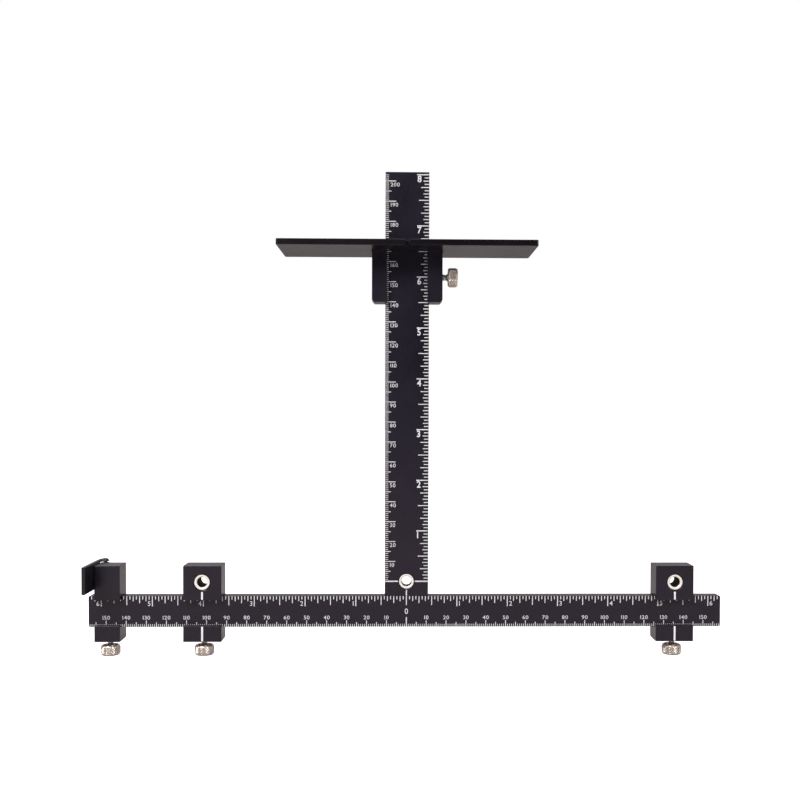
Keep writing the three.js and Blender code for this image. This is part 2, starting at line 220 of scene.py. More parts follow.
def solidify(ob, cutters=(), adders=(), bevel=0.25, segs=3, angle=32, front=None, miter="MITER_ARC"):
    """Applies joins, cuts and a rounded edge to ob, and drops the tool objects.
    front = (y, width) rounds the upright edges at that depth more than the rest."""
    for tools, op in ((adders, "UNION"), (cutters, "DIFFERENCE")):
        for t in tools:
            m = ob.modifiers.new("b", "BOOLEAN")
            m.object, m.operation, m.solver = t, op, "EXACT"
    bake(ob)
    for t in list(cutters) + list(adders):
        me = t.data
        bpy.data.objects.remove(t, do_unlink=True)
        bpy.data.meshes.remove(me)
    bm = bmesh.new()
    bm.from_mesh(ob.data)
    bmesh.ops.remove_doubles(bm, verts=bm.verts[:], dist=2e-4)
    bmesh.ops.dissolve_degenerate(bm, edges=bm.edges[:], dist=1e-4)
    if front:
        weight = bm.edges.layers.float.new("bevel_weight_edge")
        for e in bm.edges:
            if len(e.link_faces) == 2 and e.calc_face_angle(0.0) > math.radians(angle):
                a, b = (v.co for v in e.verts)
                on = max(abs(a.y - front[0]), abs(b.y - front[0]), abs(a.x - b.x)) < 1e-3
                e[weight] = 1.0 if on else bevel / front[1]
    bm.to_mesh(ob.data)
    bm.free()
    if bevel > 0:
        m = ob.modifiers.new("edge", "BEVEL")
        m.width, m.segments, m.limit_method, m.angle_limit = bevel, segs, "ANGLE", math.radians(angle)
        if front:
            m.width, m.limit_method = front[1], "WEIGHT"
        m.use_clamp_overlap, m.miter_outer, m.profile = False, miter, 0.5
        bake(ob)
    for p in ob.data.polygons:
        p.use_smooth = True
    ob.data.set_sharp_from_angle(angle=math.radians(50))
    w = ob.modifiers.new("wn", "WEIGHTED_NORMAL")
    w.mode, w.weight, w.keep_sharp = "FACE_AREA", 50, True
    bake(ob)
    return ob


def bake(ob):
    """Applies every modifier of ob to its mesh."""
    if not ob.modifiers:
        return
    dg = bpy.context.evaluated_depsgraph_get()
    dg.update()
    me = bpy.data.meshes.new_from_object(ob.evaluated_get(dg), preserve_all_data_layers=True, depsgraph=dg)
    old = ob.data
    ob.modifiers.clear()
    ob.data = me
    bpy.data.meshes.remove(old)


def place(ob, name, body, material, slot, *nodes):
    """Moves a finished piece into the frame and makes it ride on its body."""
    ob.data.transform(TO_ROW)
    ob.data.update()
    ob.name = ob.data.name = name
    ob.data.materials.clear()
    ob.data.materials.append(material)
    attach(ob, body)
    if nodes:
        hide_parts(*nodes)
    return ob


def shade(ob, angle=32):
    for p in ob.data.polygons:
        p.use_smooth = True
    ob.data.set_sharp_from_angle(angle=math.radians(angle))
    return ob


def join(objs):
    """One object from several separate closed pieces."""
    bm = bmesh.new()
    for o in objs:
        bm.from_mesh(o.data)
    ob = objs[0]
    bm.to_mesh(ob.data)
    bm.free()
    for o in objs[1:]:
        me = o.data
        bpy.data.objects.remove(o, do_unlink=True)
        bpy.data.meshes.remove(me)
    return ob


# --------------------------------------------------------------------------- materials
class Graph:
    """Small helper for building a node material."""

    def __init__(self, name):
        self.m = bpy.data.materials.new(name)
        self.m.use_nodes = True
        self.t = self.m.node_tree
        self.t.nodes.clear()
        self.out = self.n("ShaderNodeOutputMaterial")
        self.b = self.n("ShaderNodeBsdfPrincipled")
        self.link(self.b.outputs["BSDF"], self.out.inputs["Surface"])
        tc = self.n("ShaderNodeTexCoord")
        mp = self.n("ShaderNodeMapping")
        mp.inputs["Scale"].default_value = (1000, 1000, 1000)      # millimetres
        self.link(tc.outputs["Object"], mp.inputs["Vector"])
        self.mm = mp.outputs["Vector"]

    def n(self, kind, **props):
        x = self.t.nodes.new(kind)
        for k, v in props.items():
            setattr(x, k, v)
        return x

    def link(self, a, b):
        self.t.links.new(a, b)

    def set(self, node, **vals):
        for k, v in vals.items():
            k = k.replace("_", " ")
            if hasattr(v, "is_linked") or hasattr(v, "links"):
                self.link(v, node.inputs[k])
            else:
                node.inputs[k].default_value = v
        return node

    def stretch(self, sx, sy, sz):
        mp = self.n("ShaderNodeMapping")
        mp.inputs["Scale"].default_value = (sx, sy, sz)
        self.link(self.mm, mp.inputs["Vector"])
        return mp.outputs["Vector"]

    def noise(self, scale, detail=2.0, rough=0.5, vec=None, distortion=0.0):
        x = self.n("ShaderNodeTexNoise")
        self.link(vec or self.mm, x.inputs["Vector"])
        x.inputs["Scale"].default_value = scale
        x.inputs["Detail"].default_value = detail
        x.inputs["Roughness"].default_value = rough
        x.inputs["Distortion"].default_value = distortion
        return x.outputs["Fac"]

    def ramp(self, fac, *stops):
        x = self.n("ShaderNodeValToRGB")
        e = x.color_ramp.elements
        while len(e) < len(stops):
            e.new(0.5)
        for k, (pos, col) in zip(e, stops):
            k.position = pos
            k.color = (*col, 1) if isinstance(col, (tuple, list)) else (col, col, col, 1)
        self.link(fac, x.inputs["Fac"])
        return x.outputs["Color"]

    def map(self, val, a, b, c, d):
        x = self.n("ShaderNodeMapRange")
        self.link(val, x.inputs["Value"])
        for k, v in zip(("From Min", "From Max", "To Min", "To Max"), (a, b, c, d)):
            x.inputs[k].default_value = v
        return x.outputs["Result"]

    def math(self, op, a, b=None, clamp=False):
        x = self.n("ShaderNodeMath", operation=op, use_clamp=clamp)
        for i, v in enumerate((a, b)):
            if v is None:
                continue
            if isinstance(v, (int, float)):
                x.inputs[i].default_value = v
            else:
                self.link(v, x.inputs[i])
        return x.outputs[0]

    def mix(self, fac, a, b, blend="MIX"):
        x = self.n("ShaderNodeMix", data_type="RGBA", blend_type=blend)
        for sock, v in ((x.inputs[0], fac), (x.inputs[6], a), (x.inputs[7], b)):
            if isinstance(v, (int, float)):
                sock.default_value = v
            elif isinstance(v, tuple):
                sock.default_value = (*v, 1)
            else:
                self.link(v, sock)
        return x.outputs[2]

    def bump(self, height, strength, distance_mm, normal=None):
        x = self.n("ShaderNodeBump")
        x.inputs["Strength"].default_value = strength
        x.inputs["Distance"].default_value = distance_mm * MM
        self.link(height, x.inputs["Height"])
        if normal:
            self.link(normal, x.inputs["Normal"])
        return x.outputs["Normal"]

    def edges(self, radius_mm):
        """0 on flats, rising to 1 where the surface turns a corner."""
        bv = self.n("ShaderNodeBevel", samples=6)
        bv.inputs["Radius"].default_value = radius_mm * MM
        geo = self.n("ShaderNodeNewGeometry")
        dot = self.n("ShaderNodeVectorMath", operation="DOT_PRODUCT")
        self.link(bv.outputs["Normal"], dot.inputs[0])
        self.link(geo.outputs["Normal"], dot.inputs[1])
        return self.map(dot.outputs["Value"], 0.995, 0.80, 0.0, 1.0)

    def cavity(self, distance_mm):
        # ambient occlusion factor, used to paint shade into base colours down in grooves, chamfers and recesses
        ao = self.n("ShaderNodeAmbientOcclusion", samples=6)
        ao.inputs["Distance"].default_value = distance_mm * MM
        return ao.outputs["AO"]


def anodised(name, grain=None, tint=1.0, rub_and_highlight_mix=0.35, edge=0.30, spec=0.42):
    """Black anodised aluminium: fine blasted grain under a satin oxide film, a faint
    violet cast that drifts over the surface, and lighter edges: slightly rubbed, and where the edge mix is turned up
    (the stop leaf) a painted highlight along them."""
    g = Graph(name)
    cloud = g.noise(0.045, 3, 0.55)
    fine = g.noise(7.0, 3, 0.6)
    speck = g.noise(2.2, 4, 0.7)
    base = g.ramp(cloud, (0.30, (0.0056 * tint, 0.0048 * tint, 0.0108 * tint)), (0.72, (0.0090 * tint, 0.0076 * tint, 0.0172 * tint)))
    base = g.mix(g.map(speck, 0.45, 0.72, 0.0, 0.35), base, (0.015 * tint, 0.011 * tint, 0.022 * tint))
    # edge lightening: partly a rubbed edge, partly a painted highlight where the mix is turned up (stop leaf)
    rub_and_highlight = g.math("MULTIPLY", g.edges(edge), g.map(g.noise(0.9, 3, 0.65), 0.46, 0.66, 0.0, 1.0), clamp=True)
    base = g.mix(g.math("MULTIPLY", rub_and_highlight, rub_and_highlight_mix), base, (0.15, 0.13, 0.135))
    rough = g.math("ADD", g.map(fine, 0.3, 0.7, -0.035, 0.045), g.map(cloud, 0.3, 0.7, 0.28, 0.35))
    rough = g.math("SUBTRACT", rough, g.math("MULTIPLY", rub_and_highlight, 0.06))
    nrm = g.bump(fine, 0.35, 0.010)
    if grain:
        line = g.noise(5.0, 3, 0.6, g.stretch(*grain))
        rough = g.math("ADD", rough, g.map(line, 0.35, 0.65, -0.03, 0.03))
        nrm = g.bump(line, 0.30, 0.006, nrm)
    g.set(g.b, Base_Color=base, Metallic=0.0, IOR=1.50, Roughness=rough, Normal=nrm)
    g.b.inputs["Specular IOR Level"].default_value = spec
    g.b.inputs["Specular Tint"].default_value = (1.0, 0.90, 0.91, 1)
    return g.m


def plated(name, lo=(0.70, 0.60, 0.53), hi=(0.93, 0.84, 0.77), r0=0.24, r1=0.34):
    """Warm satin nickel over brass, with painted shade darkening it down in the knurl and threads."""
    g = Graph(name)
    cloud = g.noise(0.35, 3, 0.6)
    fine = g.noise(14.0, 2, 0.5)
    base = g.ramp(cloud, (0.30, lo), (0.66, hi))
    # painted shade: the base colour is darkened where ambient occlusion finds the knurl and thread grooves
    groove_shade = g.map(g.cavity(0.60), 0.55, 0.95, 0.0, 1.0)
    base = g.mix(1.0, base, g.mix(groove_shade, (0.10, 0.075, 0.06), (1.0, 1.0, 1.0)), "MULTIPLY")
    edge = g.edges(0.10)
    base = g.mix(g.math("MULTIPLY", edge, 0.35), base, (0.86, 0.81, 0.76))
    rough = g.math("ADD", g.map(cloud, 0.3, 0.7, r0, r1), g.map(fine, 0.35, 0.65, -0.03, 0.04))
    g.set(g.b, Base_Color=base, Metallic=0.62, Roughness=rough, Normal=g.bump(fine, 0.25, 0.006))
    return g.m


def turned_steel(name, cx):
    """Ground bushing steel with fine concentric tool marks about its own axis."""
    g = Graph(name)
    sub = g.n("ShaderNodeVectorMath", operation="SUBTRACT")
    g.link(g.mm, sub.inputs[0])
    sub.inputs[1].default_value = ((OX / MM) + cx, 0, OZ / MM)
    flat = g.n("ShaderNodeVectorMath", operation="MULTIPLY")
    g.link(sub.outputs[0], flat.inputs[0])
    flat.inputs[1].default_value = (1, 0, 1)
    ln = g.n("ShaderNodeVectorMath", operation="LENGTH")
    g.link(flat.outputs[0], ln.inputs[0])
    comb = g.n("ShaderNodeCombineXYZ")
    g.link(ln.outputs["Value"], comb.inputs[0])
    ring = g.noise(9.0, 3, 0.6, comb.outputs[0])
    cloud = g.noise(0.5, 3, 0.6)
    base = g.ramp(cloud, (0.3, (0.88, 0.81, 0.75)), (0.7, (0.96, 0.90, 0.85)))
    # painted shade: the base colour is darkened by ambient occlusion in the chamfers and towards the bore
    base = g.mix(1.0, base, g.mix(g.map(g.cavity(0.5), 0.3, 0.95, 0.0, 1.0), (0.45, 0.43, 0.40), (1.0, 1.0, 1.0)), "MULTIPLY")
    rough = g.math("ADD", g.map(ring, 0.35, 0.65, 0.24, 0.36), g.map(cloud, 0.3, 0.7, -0.02, 0.05))
    g.set(g.b, Base_Color=base, Metallic=0.25, Roughness=rough, Normal=g.bump(ring, 0.35, 0.006))
    return g.m


def bore_steel(name):
    """Near-black, rough steel given to a drill bushing's bore and outer corner: painted shade for the dark bore and
    the shadowed seam around it.
    """
    g = Graph(name)
    fine = g.noise(4.0, 3, 0.6, g.stretch(1.0, 0.15, 1.0))
    base = g.ramp(fine, (0.3, (0.012, 0.009, 0.008)), (0.7, (0.028, 0.021, 0.018)))
    g.set(g.b, Base_Color=base, Metallic=0.0, Roughness=g.map(fine, 0.3, 0.7, 0.55, 0.75), Normal=g.bump(fine, 0.4, 0.01))
    g.b.inputs["Specular IOR Level"].default_value = 0.06
    return g.m


def black_oxide(name):
    g = Graph(name)
    fine = g.noise(9.0, 3, 0.6)
    cloud = g.noise(0.6, 3, 0.6)
    base = g.ramp(cloud, (0.3, (0.030, 0.029, 0.031)), (0.7, (0.055, 0.052, 0.054)))
    base = g.mix(g.math("MULTIPLY", g.edges(0.12), 0.4), base, (0.20, 0.19, 0.185))
    g.set(g.b, Base_Color=base, Metallic=0.85, Roughness=g.map(fine, 0.3, 0.7, 0.30, 0.44), Normal=g.bump(fine, 0.3, 0.006))
    return g.m


def nylon(name):
    g = Graph(name)
    fine = g.noise(6.0, 3, 0.6)
    cloud = g.noise(0.8, 2, 0.6)
    base = g.ramp(cloud, (0.3, (0.66, 0.63, 0.55)), (0.7, (0.78, 0.75, 0.68)))
    g.set(g.b, Base_Color=base, Metallic=0.0, Roughness=g.map(fine, 0.3, 0.7, 0.42, 0.58), Normal=g.bump(fine, 0.35, 0.012))
    g.b.inputs["Subsurface Weight"].default_value = 0.15
    g.b.inputs["Subsurface Radius"].default_value = (0.0012, 0.0010, 0.0008)
    return g.m


def etched(name, lo, hi, patch=0.55):
    """Laser-marked aluminium: matt, pale, a little uneven where the beam passed."""
    g = Graph(name)
    fine = g.noise(8.0, 3, 0.65)
    cloud = g.noise(0.22, 3, 0.6)
    base = g.mix(g.map(fine, 0.35, 0.65, 0.0, 1.0), lo, hi)
    base = g.mix(1.0, base, g.ramp(cloud, (0.3, (patch, patch, patch)), (0.6, (1.0, 1.0, 1.0))), "MULTIPLY")
    g.set(g.b, Base_Color=base, Metallic=0.0, Roughness=g.map(fine, 0.3, 0.7, 0.55, 0.75), Normal=g.bump(fine, 0.4, 0.008))
    g.b.inputs["Specular IOR Level"].default_value = 0.3
    return g.m


M_UP = anodised("anodised_upright", (1.0, 1.0, 0.06))
M_CROSS = anodised("anodised_cross", (0.06, 1.0, 1.0))
M_BLOCK = anodised("anodised_block")
M_FENCE = anodised("anodised_fence", (0.06, 1.0, 1.0), 0.30, spec=0.36)
# stop leaf: edge lightening turned up to 0.9 over a 0.42 mm radius, a painted highlight along its top and front
# edges on top of the rubbed edge
M_LEAF = anodised("anodised_leaf", (1.0, 0.10, 1.0), 0.5, 0.9, 0.42, 0.50)
M_NICKEL = plated("nickel_knurled")
M_OXIDE = black_oxide("black_oxide_screws")
# near-black material painted on bushing bores and outer corners as shade
M_BORE_SHADE = bore_steel("bushing_bore_painted_shade")
M_NYLON = nylon("nylon_pad")
M_MARK = etched("laser_marks", (0.62, 0.61, 0.64), (0.84, 0.83, 0.86), 0.84)
M_INDEX = etched("index_white", (0.80, 0.80, 0.82), (0.92, 0.92, 0.93), 0.92)

# ---------------------------------------------------------------------- the T frame
CS_HEAD, CS_SHANK = 2.7, 1.45


def cs_cutter(axis, at, length):
    r, h = CS_SHANK + 0.14, CS_HEAD + 0.08
    return lathe([(0, -length - 0.5), (r, -length - 0.5), (r, -(0.2 + h - r)), (h, -0.2), (h, 0.8), (0, 0.8)], axis, at, 72)


t0 = LAP + GAP
up = prism([(0, CROSS_TOP + GAP), (t0, CROSS_TOP + GAP), (t0, CROSS_BOT), (T, CROSS_BOT), (T, UP_TOP), (0, UP_TOP)],
           "x", -HALF_W, HALF_W)
R_CB = (nb("center_bushing")[1] - nb("center_bushing")[0]) / 2
solidify(up, [rod(R_CB + 0.03, -1, T + 1, "y", (0, 0, 0), 96)]
         + [cs_cutter("y", (sx * LAP_X, T - 0.1, LAP_Z), 5.2) for sx in (-1, 1)], bevel=0.13)
place(up, "upright_ruler_body", "t_frame", M_UP, "black_anodised", "upright_ruler")

cross = prism(rounded(CROSS_BOT, CROSS_TOP, -HALF_L, HALF_L, 0.8), "y", 0, T)
solidify(cross, [box(-HALF_W - GAP, HALF_W + GAP, LAP, T + 1, CROSS_BOT - 1, CROSS_TOP + 1)]
         + [rod(CS_SHANK + 0.06, -5.6, 1, "y", (sx * LAP_X, T - 0.1, LAP_Z), 48) for sx in (-1, 1)], bevel=0.13)
place(cross, "cross_ruler_body", "t_frame", M_CROSS, "black_anodised", "cross_ruler")


def cs_screw(length, axis, at):
    """Countersunk socket screw with a rolled thread."""
    segs, pitch = 48, 0.5
    prof = [(0, -length)]
    rows = []
    n = int((length - 1.9) / (pitch / 6))
    for i in range(n + 1):
        h = -length + 0.02 + i * (length - 1.9) / n
        rows.append(h)
    bm = bmesh.new()
    m = Matrix.Translation(at) @ AXES[axis]

    def ring(h, fn):
        return [bm.verts.new(m @ Vector((fn(k) * math.sin(2 * math.pi * k / segs), h, fn(k) * math.cos(2 * math.pi * k / segs)))) for k in range(segs)]
    rings = []
    for h in rows:
        lead = min(1.0, (h + length) / 0.5)
        out = min(1.0, (-1.9 - h) / 0.35 + 0.0)

        def r(k, h=h, lead=lead, out=out):
            ph = (h / pitch - k / segs) % 1.0
            tri = 1 - abs(2 * ph - 1)
            return CS_SHANK - 0.26 * (1 - tri) * max(0.0, out) - 0.30 * (1 - lead)
        rings.append(ring(h, r))
    for rr, h in soften([(CS_SHANK, -1.9), (CS_SHANK, -(0.2 + CS_HEAD - CS_SHANK)), (CS_HEAD, -0.22), (CS_HEAD, -0.02), (CS_HEAD - 0.12, 0.0), (1.35, 0.0)], 0.06, 2)[1:]:
        rings.append(ring(h, lambda k, rr=rr: rr))
    lo = bm.verts.new(m @ Vector((0, -length, 0)))
    # socket: hexagon walls down to a shallow cone
    def hexr(k, a):
        ang = (2 * math.pi * k / segs) % (math.pi / 3) - math.pi / 6
        return a / math.cos(ang)
    for h, a in ((0.0, 1.06), (-0.08, 1.0), (-1.15, 1.0)):
        rings.append(ring(h, lambda k, a=a: hexr(k, a)))
    hi = bm.verts.new(m @ Vector((0, -1.45, 0)))
    for k in range(segs):
        j = (k + 1) % segs
        bm.faces.new((lo, rings[0][j], rings[0][k]))
        for a, b in zip(rings, rings[1:]):
            bm.faces.new((a[k], a[j], b[j], b[k]))
        bm.faces.new((rings[-1][k], rings[-1][j], hi))
    return shade(obj_from_bm("tmp", bm), 28)


for side, sx in (("left", -1), ("right", 1)):
    place(cs_screw(5.2, "y", (sx * LAP_X, T - 0.1, LAP_Z)), "lap_screw_" + side + "_socket", "t_frame", M_OXIDE, "black_oxide", "lap_screw_" + side)


def bushing(node, cx):
    b = nb(node)
    ro, ri, y0, y1 = (b[1] - b[0]) / 2, 2.5, b[2], b[3]
    prof = [(ri + 0.45, y0), (ro - 0.22, y0), (ro, y0 + 0.22), (ro, y1 - 0.22), (ro - 0.22, y1), (ri + 0.45, y1), (ri, y1 - 0.45), (ri, y0 + 0.45)]
    full = prof + prof[:2]
    soft = soften([prof[-1]] + full, 0.10, 3)[1:-1]
    n = len(soft)
    ring = soft[: n - 1]
    # drop the repeated arc so that the section closes on itself once
    seen, sec = set(), []
    for p in ring:
        key = (round(p[0], 5), round(p[1], 5))
        if key in seen:
            continue
        seen.add(key)
        sec.append(p)
    sec.append(sec[0])
    return shade(lathe(sec, "y", (cx, 0, 0), 128), 40)


CXL, CXR = (LG[0] + LG[1]) / 2, (RG[0] + RG[1]) / 2
# the ground face of a bushing is bright; its outer corner and its bore get the near-black material as painted shade
for node, cx, body in (("center_bushing", 0.0, "t_frame"), ("left_guide_bushing", CXL, "left_guide"), ("right_guide_bushing", CXR, "right_guide")):
    ob = place(bushing(node, cx), node + "_turned", body, turned_steel("steel_" + node, cx), "bushing_steel", node)
    ob.data.materials.append(M_BORE_SHADE)
    BUSH_R = (nb(node)[1] - nb(node)[0]) / 2
    ax = Vector((OX + cx * MM, 0, OZ))
    for f in ob.data.polygons:
        c0 = f.center
        far = math.hypot(c0.x - ax.x, c0.z - ax.z) / MM
        f.material_index = 1 if far < 2.56 or far > BUSH_R - 0.26 else 0

# --------------------------------------------------------------- blocks on the cross ruler
CSEC = [(FRONT, G_BOT), (BACK - 1.0, G_BOT), (BACK, G_BOT + 1.0), (BACK, G_TOP), (FRONT, G_TOP), (FRONT, WIN_TOP), (-SLIDE, WIN_TOP),
        (-SLIDE, CROSS_TOP + SLIDE), (T + SLIDE, CROSS_TOP + SLIDE), (T + SLIDE, CROSS_BOT - SLIDE), (-SLIDE, CROSS_BOT - SLIDE),
        (-SLIDE, WIN_BOT), (FRONT, WIN_BOT)]


def tap_cross(cx):
    return lathe([(0, G_BOT - 1), (3.45, G_BOT - 1), (1.85, G_BOT + 0.6), (1.85, CROSS_BOT + 1), (0, CROSS_BOT + 1)], "z", (cx, SCREW_Y, 0), 64)


for pre, b, cx in (("left_guide", LG, CXL), ("right_guide", RG, CXR)):
    ro = (nb(pre + "_bushing")[1] - nb(pre + "_bushing")[0]) / 2
    blk = prism(CSEC, "x", b[0], b[1])
    mouth = 0.32
    bore = lathe([(0, FRONT - 1), (ro + 0.03 + mouth + 1, FRONT - 1), (ro + 0.03, FRONT + mouth), (ro + 0.03, BACK - mouth),
                  (ro + 0.03 + mouth + 1, BACK + 1), (0, BACK + 1)], "y", (cx, 0, 0), 96)
    solidify(blk, [bore, tap_cross(cx)], bevel=0.24, front=(FRONT, 0.55))
    place(blk, pre + "_block_machined", pre, M_BLOCK, "black_anodised", pre + "_block")
    # index line: a filled groove from the bushing to the window, and on below it
    half = 0.46
    marks = [box(cx - half, cx + half, FRONT - 0.012, FRONT + 0.08, WIN_TOP + 0.40, -ro - 0.86),
             box(cx - half, cx + half, FRONT - 0.012, FRONT + 0.08, G_BOT + 0.40, WIN_BOT - 0.40)]
    place(join(marks), pre + "_index_line", pre, M_INDEX, "black_anodised")

# ------------------------------------------------------------------------- thumb screws
HEAD_R, HEAD_T, LEN, THREAD_R, PITCH = 4.9, 4.8, 8.2, 1.75, 25.4 / 32


def thumb_screw(axis, at, flip=False):
    """Head face at height 0, tip at +LEN, grip down to -HEAD_T, diamond knurled."""
    m = Matrix.Translation(at) @ AXES[axis] @ (Matrix.Rotation(math.pi, 4, "X") if flip else Matrix.Identity(4))
    bm = bmesh.new()
    N, SUB = 22, 9
    segs = N * SUB
    z0, z1 = -HEAD_T + 0.44, -0.36                      # knurled length
    rows = round((z1 - z0) / (2 * math.pi * HEAD_R / N))
    pz = (z1 - z0) / rows
    depth = 0.42

    def ring(h, fn):
        return [bm.verts.new(m @ Vector((fn(k) * math.sin(2 * math.pi * k / segs), h, fn(k) * math.cos(2 * math.pi * k / segs)))) for k in range(segs)]
    rings = []
    # outer face: shallow dish and a rounded rim
    lead = soften([(0.001, -HEAD_T + 0.12), (2.9, -HEAD_T + 0.12), (3.15, -HEAD_T), (HEAD_R - 0.66, -HEAD_T), (HEAD_R - 0.36, z0 - 0.02), (HEAD_R - 0.355, z0)], 0.12, 3)
    for r, h in lead[1:-1]:
        rings.append(ring(h, lambda k, r=r: r))
    for i in range(rows * SUB + 1):
        h = z0 + (z1 - z0) * i / (rows * SUB)
        b = (h - z0) / pz
        fade = min(1.0, (i + 0.0) / 3 + 0.15, (rows * SUB - i) / 3 + 0.15)

        def r(k, b=b, fade=fade):
            a = k / SUB
            g1 = abs(2 * ((a + b) % 1.0) - 1)
            g2 = abs(2 * ((a - b) % 1.0) - 1)
            hgt = min(0.86, 1 - max(g1, g2)) / 0.86
            return HEAD_R - depth + depth * hgt * fade - 0.02 * (1 - fade)
        rings.append(ring(h, r))
    tail = soften([(HEAD_R - 0.355, z1), (HEAD_R - 0.36, z1 + 0.02), (HEAD_R - 0.60, 0.0), (3.85, 0.0), (3.60, -1.0), (2.35, -1.0), (2.15, 0.05), (1.60, 0.60), (1.2, 1.30)], 0.12, 3)
    for r, h in tail[1:-1]:
        rings.append(ring(h, lambda k, r=r: r))
    top = bm.verts.new(m @ Vector((0, 1.30, 0)))
    bot = bm.verts.new(m @ Vector((0, -HEAD_T + 0.12, 0)))
    rings.append(ring(1.30, lambda k: 1.2))
    for k in range(segs):
        j = (k + 1) % segs
        bm.faces.new((bot, rings[0][j], rings[0][k]))
        for a, b in zip(rings, rings[1:]):
            bm.faces.new((a[k], a[j], b[j], b[k]))
        bm.faces.new((rings[-1][k], rings[-1][j], top))
    bmesh.ops.recalc_face_normals(bm, faces=bm.faces[:])
    # shank with a true helical thread, rooted inside the neck
    s2 = 64
    hs = [0.6, 1.28, 1.36, 1.95, 2.02, 2.20]
    n = int((LEN - 0.42 - 2.28) / (PITCH / 9))
    hs += [2.28 + i * (LEN - 0.42 - 2.28) / n for i in range(n + 1)] + [LEN - 0.30, LEN - 0.02]

    def rad(h, k):
        if h < 1.3:
            return 1.10
        if h < 2.0:
            return 1.50
        run = min(1.0, max(0.0, (h - 2.0) / 0.45))
        end = min(1.0, max(0.0, (LEN - h) / 0.55))
        ph = (h / PITCH - k / s2) % 1.0
        tri = min(1.0, 1.25 * (1 - abs(2 * ph - 1)))
        r = 1.42 + (THREAD_R - 1.42) * (0.22 + 0.78 * tri) * run
        return min(r, THREAD_R - 0.42 * (1 - end))
    rr = []
    for h in hs:
        rr.append([bm.verts.new(m @ Vector((rad(h, k) * math.sin(2 * math.pi * k / s2), h, rad(h, k) * math.cos(2 * math.pi * k / s2)))) for k in range(s2)])
    a0 = bm.verts.new(m @ Vector((0, 0.6, 0)))
    a1 = bm.verts.new(m @ Vector((0, LEN, 0)))
    new = []
    for k in range(s2):
        j = (k + 1) % s2
        new.append(bm.faces.new((a0, rr[0][j], rr[0][k])))
        for a, b in zip(rr, rr[1:]):
            new.append(bm.faces.new((a[k], a[j], b[j], b[k])))
        new.append(bm.faces.new((rr[-1][k], rr[-1][j], a1)))
    return shade(obj_from_bm("tmp", bm), 30)


def clamp_pad(axis, at, flip=False):
    prof = soften([(0, 0), (1.6, 0), (1.6, 0.9), (1.3, 1.2), (0, 1.2)], 0.12, 3)
    return shade(lathe(prof, axis, at, 64, flip), 35)


CXS = (nb("stop_thumb_screw")[0] + nb("stop_thumb_screw")[1]) / 2
for pre, cx in (("left_guide", CXL), ("right_guide", CXR), ("stop", CXS)):
    ts, pad = nb(pre + "_thumb_screw"), nb(pre + "_clamp_pad")
    place(thumb_screw("z", (cx, SCREW_Y, ts[5] - LEN)), pre + "_thumb_screw_knurled", pre + "_knob", M_NICKEL, "nickel", pre + "_thumb_screw")
    place(clamp_pad("z", (cx, SCREW_Y, pad[4])), pre + "_clamp_pad_tip", pre + "_pad", M_NYLON, "nylon", pre + "_clamp_pad")
ts, pad = nb("fence_thumb_screw"), nb("fence_clamp_pad")
FTZ = (ts[4] + ts[5]) / 2
place(thumb_screw("x", (ts[0] + LEN, SCREW_Y, FTZ), True), "fence_thumb_screw_knurled", "fence_knob", M_NICKEL, "nickel", "fence_thumb_screw")
place(clamp_pad("x", (pad[1], SCREW_Y, FTZ), True), "fence_clamp_pad_tip", "fence_pad", M_NYLON, "nylon", "fence_clamp_pad")

# ---------------------------------------------------------------------------- flip stop
EAR_BOT, R_EAR, PIN_R = -1.5, 2.0, 0.95
S0, S1 = SP[0] + 1.8, SB[1]
blk = prism(CSEC, "x", S0, S1)
ear = [(S0 + 0.35, BACK - 1.0), (S1 - 6.9, BACK - 1.0), (S1 - 6.9, BACK)]
for i in range(25):
    t = math.radians(48 + i * (188 - 48) / 24)
    ear.append((HX + R_EAR * math.cos(t), HY + R_EAR * math.sin(t)))
solidify(blk, [tap_cross(CXS), rod(PIN_R + 0.03, EAR_BOT - 1, G_TOP + 1, "z", (HX, HY, 0), 48)], [prism(ear, "z", EAR_BOT, G_TOP - 0.60)], bevel=0.24, miter="MITER_SHARP")
place(blk, "stop_block_machined", "stop", M_BLOCK, "black_anodised", "stop_block")

outer, inner = SP[0], S0 - 0.1
P_TOP, P_BOT = SP[5], SP[4]
leaf = prism(rounded(P_BOT, P_TOP, outer, inner, 0.28, 3), "y", SP[2], BACK - 1.0)
tab = [(outer, BACK - 1.6), (inner, BACK - 1.6), (inner, BACK + 0.4)]
for i in range(29):
    t = math.radians(-60 + i * 225 / 28)
    tab.append((HX + R_EAR * math.cos(t), HY + R_EAR * math.sin(t)))
tab.append((outer, HY - 0.9))
top = [(outer + 0.36, BACK - 1.6), (inner - 0.36, BACK - 1.6), (inner - 0.36, BACK + 0.4)]
for i in range(29):
    d = -60 + i * 225 / 28
    t, rr = math.radians(d), R_EAR - 0.62 * max(0.0, min(1.0, (120 - d) / 70))
    top.append((HX + rr * math.cos(t), HY + rr * math.sin(t)))
top.append((outer + 0.36, HY - 0.9))
foot = [(outer + 0.36, BACK - 1.6), (inner - 0.36, BACK - 1.6), (inner - 0.36, BACK + 0.4)] + tab[3:-1] + [(outer + 0.36, HY - 0.9)]
solidify(leaf, [rod(PIN_R + 0.08, P_BOT - 1, P_TOP + 1, "z", (HX, HY, 0), 48)],
         [loft(tab, top, G_TOP + 0.1, P_TOP - 0.03), loft(foot, tab, P_BOT + 0.03, EAR_BOT - 0.1)], bevel=0.12, miter="MITER_SHARP")
place(leaf, "stop_plate_bent", "stop_leaf", M_LEAF, "black_anodised", "stop_plate")
pr = soften([(0, PIN[4]), (PIN_R - 0.05, PIN[4]), (PIN_R, PIN[4] + 0.1), (PIN_R, PIN[5] - 0.25), (PIN_R - 0.25, PIN[5]), (0, PIN[5])], 0.12, 3)
place(shade(lathe(pr, "z", (HX, HY, 0), 64), 40), "stop_hinge_pin_ground", "stop", M_OXIDE, "black_oxide", "stop_hinge_pin")

